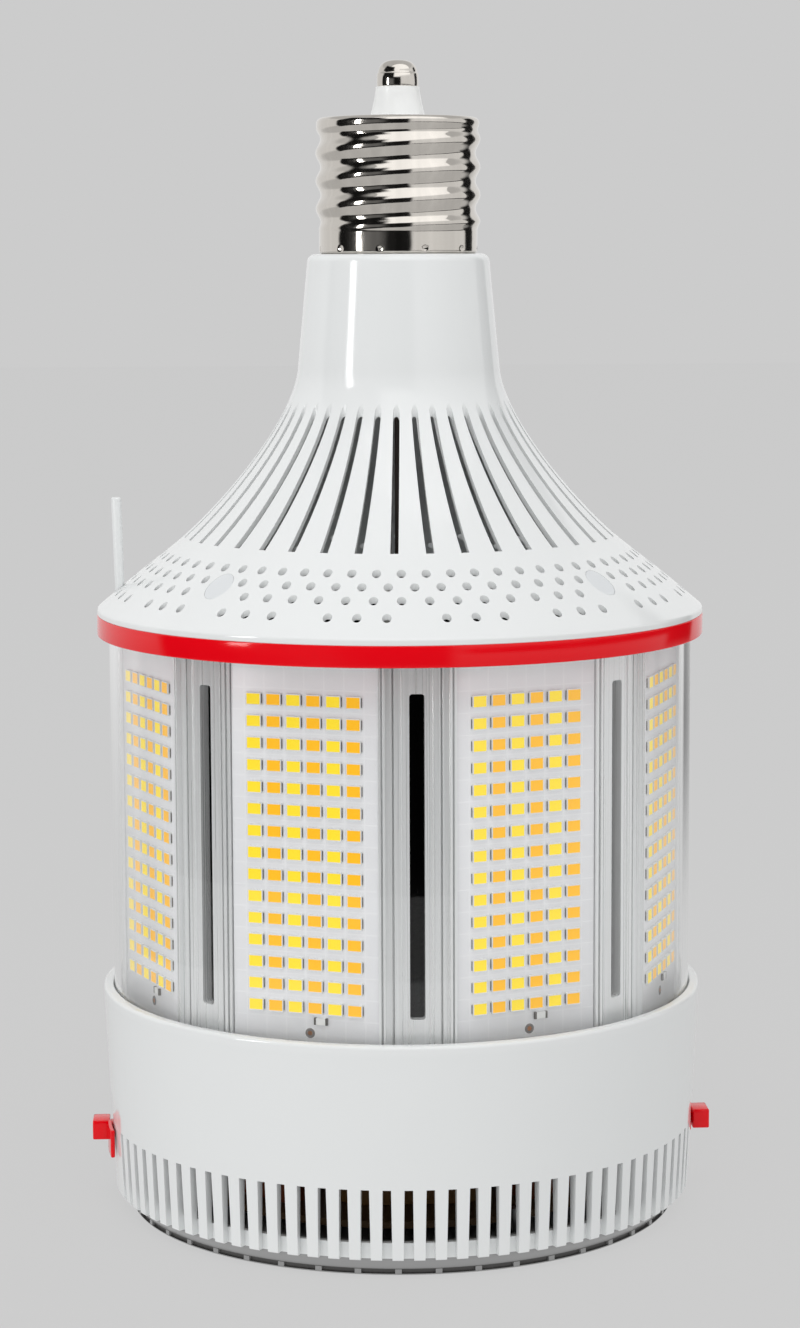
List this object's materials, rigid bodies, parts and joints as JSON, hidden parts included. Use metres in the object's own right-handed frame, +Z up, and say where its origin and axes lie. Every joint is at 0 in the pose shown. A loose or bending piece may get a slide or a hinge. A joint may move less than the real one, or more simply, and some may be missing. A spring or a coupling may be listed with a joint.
{
  "type": "led replacement lamp",
  "caption": "LED lamp with a mogul screw base, a slotted white cone, light boards under a clear tube and a vented skirt with slide-switch knobs.",
  "frame": {"origin": "middle of the flat bottom cover, on the surface that the lamp stands on", "axes": "+Z up along the lamp's axis to the screw base, -Y to the front, the knobs on +X and -X"},
  "size_m": [0.151, 0.145, 0.2739],
  "materials": {
    "nickel": "bright nickel plate",
    "insulator_white": "white glazed insulator",
    "white_plastic": "smooth moulded white",
    "plug_plastic": "pale matt plug",
    "antenna_white": "white sleeve",
    "red_plastic": "glossy red",
    "clear_plastic": "clear tube",
    "aluminium": "bright extrusion",
    "board_white": "white solder mask",
    "chip_plastic": "chip resistor",
    "smoke_plastic": "smoke-grey moulding",
    "steel": "plated steel",
    "driver_laminate": "brown laminate",
    "transformer_tape": "amber tape",
    "capacitor_sleeve": "black sleeve",
    "film_plastic": "dipped brown",
    "choke_winding": "enamelled copper",
    "connector_plastic": "cream nylon",
    "red_lead": "red insulation",
    "white_lead": "white insulation"
  },
  "bodies": {
    "lamp": {"antenna": "antenna_white", "bottom_cover": "smoke_plastic", "capacitors": "capacitor_sleeve", "centre_contact": "nickel", "chip_resistors": "chip_plastic", "choke": "choke_winding", "clear_tube": "clear_plastic", "colour_switch": "steel", "contact_insulator": "insulator_white", "cover_screws": "steel", "driver_board": "driver_laminate", "film_capacitors": "film_plastic", "heat_sink": "aluminium", "housing_screws": "steel", "lead_connector": "connector_plastic", "led_board_1": "board_white", "led_board_2": "board_white", "led_board_3": "board_white", "led_board_4": "board_white", "led_board_5": "board_white", "led_board_6": "board_white", "led_board_7": "board_white", "led_board_8": "board_white", "line_lead": "red_lead", "lower_skirt": "white_plastic", "neutral_lead": "white_lead", "power_switch": "steel", "screw_plugs": "plug_plastic", "screw_shell": "nickel", "top_plate": "aluminium", "transformer": "transformer_tape", "trim_ring": "red_plastic", "upper_housing": "white_plastic"},
    "power_slider": {"power_knob": "red_plastic"},
    "colour_slider": {"colour_knob": "red_plastic"}
  },
  "joints": [
    {"name": "power_slide", "type": "hinge", "parent": "lamp", "child": "power_slider", "pos_m": [0, 0, 0.0175], "axis": [0, 0, 1], "range_deg": [-3.5, 3.5]},
    {"name": "colour_slide", "type": "hinge", "parent": "lamp", "child": "colour_slider", "pos_m": [0, 0, 0.0175], "axis": [0, 0, 1], "range_deg": [-3.5, 3.5]}
  ]
}
